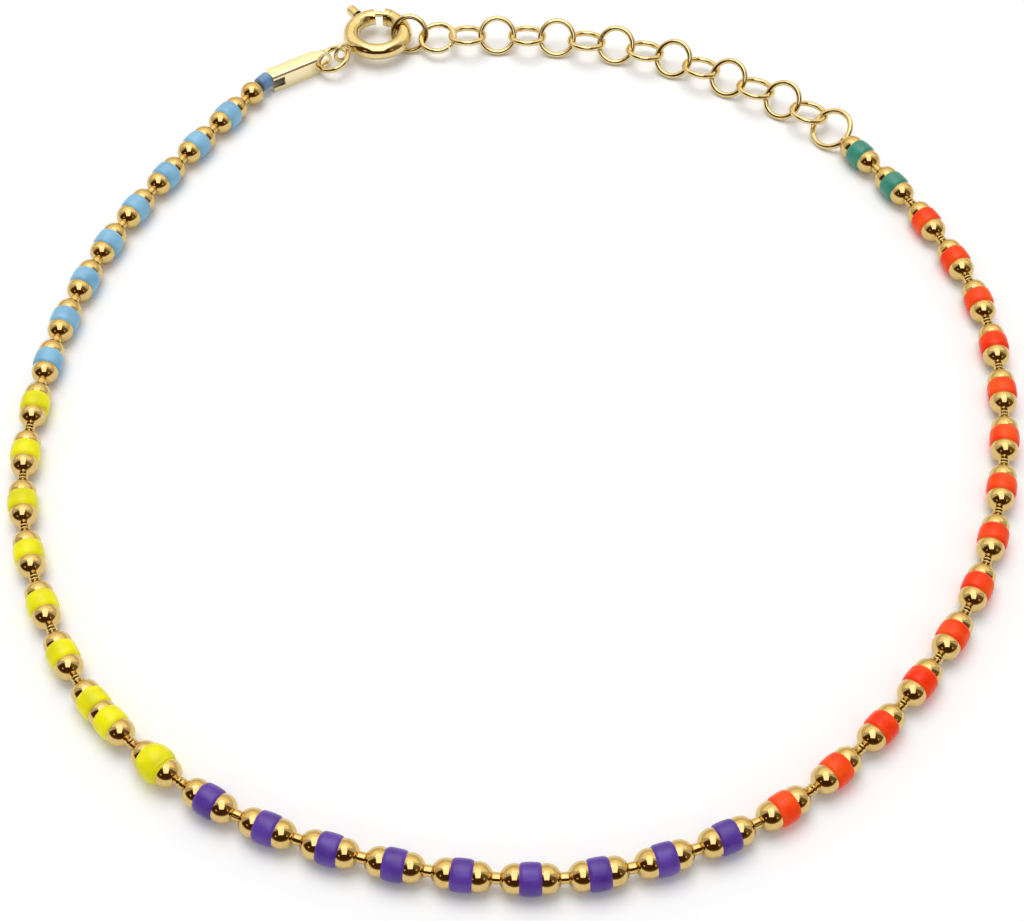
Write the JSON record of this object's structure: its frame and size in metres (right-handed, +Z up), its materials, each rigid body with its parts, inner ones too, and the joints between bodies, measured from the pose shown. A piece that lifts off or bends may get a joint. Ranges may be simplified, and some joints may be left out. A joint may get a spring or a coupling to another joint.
{
  "type": "beaded bracelet",
  "caption": "Slim gold-plated ball chain bracelet with coloured enamel barrel beads, closed in a loop by a spring ring clasp hooked into its extension chain",
  "frame": {"origin": "on the surface it lies on, below the middle of the loop's bounding box", "axes": "+Z up from the surface, +Y from the middle of the front towards the clasp and extension chain, +X to the right seen from the front"},
  "size_m": [0.0618, 0.0706, 0.0022],
  "materials": {
    "gold_plate": "bright polished gold plating",
    "light_blue_enamel": "smooth glossy opaque enamel",
    "yellow_enamel": "smooth glossy opaque enamel",
    "purple_enamel": "smooth glossy opaque enamel",
    "orange_red_enamel": "smooth glossy opaque enamel",
    "green_enamel": "smooth glossy opaque enamel",
    "dark_blue_enamel": "smooth glossy opaque enamel"
  },
  "bodies": {
    "bracelet": {"ball_chain": "gold_plate", "light_blue_bead_1": "light_blue_enamel", "light_blue_bead_2": "light_blue_enamel", "light_blue_bead_3": "light_blue_enamel", "light_blue_bead_4": "light_blue_enamel", "light_blue_bead_5": "light_blue_enamel", "light_blue_bead_6": "light_blue_enamel", "light_blue_bead_7": "light_blue_enamel", "light_blue_bead_8": "light_blue_enamel", "yellow_bead_1": "yellow_enamel", "yellow_bead_2": "yellow_enamel", "yellow_bead_3": "yellow_enamel", "yellow_bead_4": "yellow_enamel", "yellow_bead_5": "yellow_enamel", "yellow_bead_6": "yellow_enamel", "yellow_bead_7": "yellow_enamel", "yellow_bead_8": "yellow_enamel", "yellow_bead_9": "yellow_enamel", "purple_bead_1": "purple_enamel", "purple_bead_2": "purple_enamel", "purple_bead_3": "purple_enamel", "purple_bead_4": "purple_enamel", "purple_bead_5": "purple_enamel", "purple_bead_6": "purple_enamel", "purple_bead_7": "purple_enamel", "purple_bead_8": "purple_enamel", "purple_bead_9": "purple_enamel", "orange_red_bead_1": "orange_red_enamel", "orange_red_bead_2": "orange_red_enamel", "orange_red_bead_3": "orange_red_enamel", "orange_red_bead_4": "orange_red_enamel", "orange_red_bead_5": "orange_red_enamel", "orange_red_bead_6": "orange_red_enamel", "orange_red_bead_7": "orange_red_enamel", "orange_red_bead_8": "orange_red_enamel", "orange_red_bead_9": "orange_red_enamel", "orange_red_bead_10": "orange_red_enamel", "orange_red_bead_11": "orange_red_enamel", "orange_red_bead_12": "orange_red_enamel", "orange_red_bead_13": "orange_red_enamel", "orange_red_bead_14": "orange_red_enamel", "green_bead_1": "green_enamel", "green_bead_2": "green_enamel", "end_bead": "dark_blue_enamel", "end_tag": "gold_plate", "jump_ring": "gold_plate", "spring_ring": "gold_plate", "extension_chain": "gold_plate"},
    "trigger": {"spring_ring_trigger": "gold_plate"}
  },
  "joints": [
    {"name": "trigger_slide", "type": "hinge", "parent": "bracelet", "child": "trigger", "pos_m": [-0.01021, 0.03227, 0.00113], "axis": [0, 0, 1], "range_deg": [0, 45], "stiffness_Nm_per_rad": 0.0005, "springref_deg": -5.73}
  ]
}
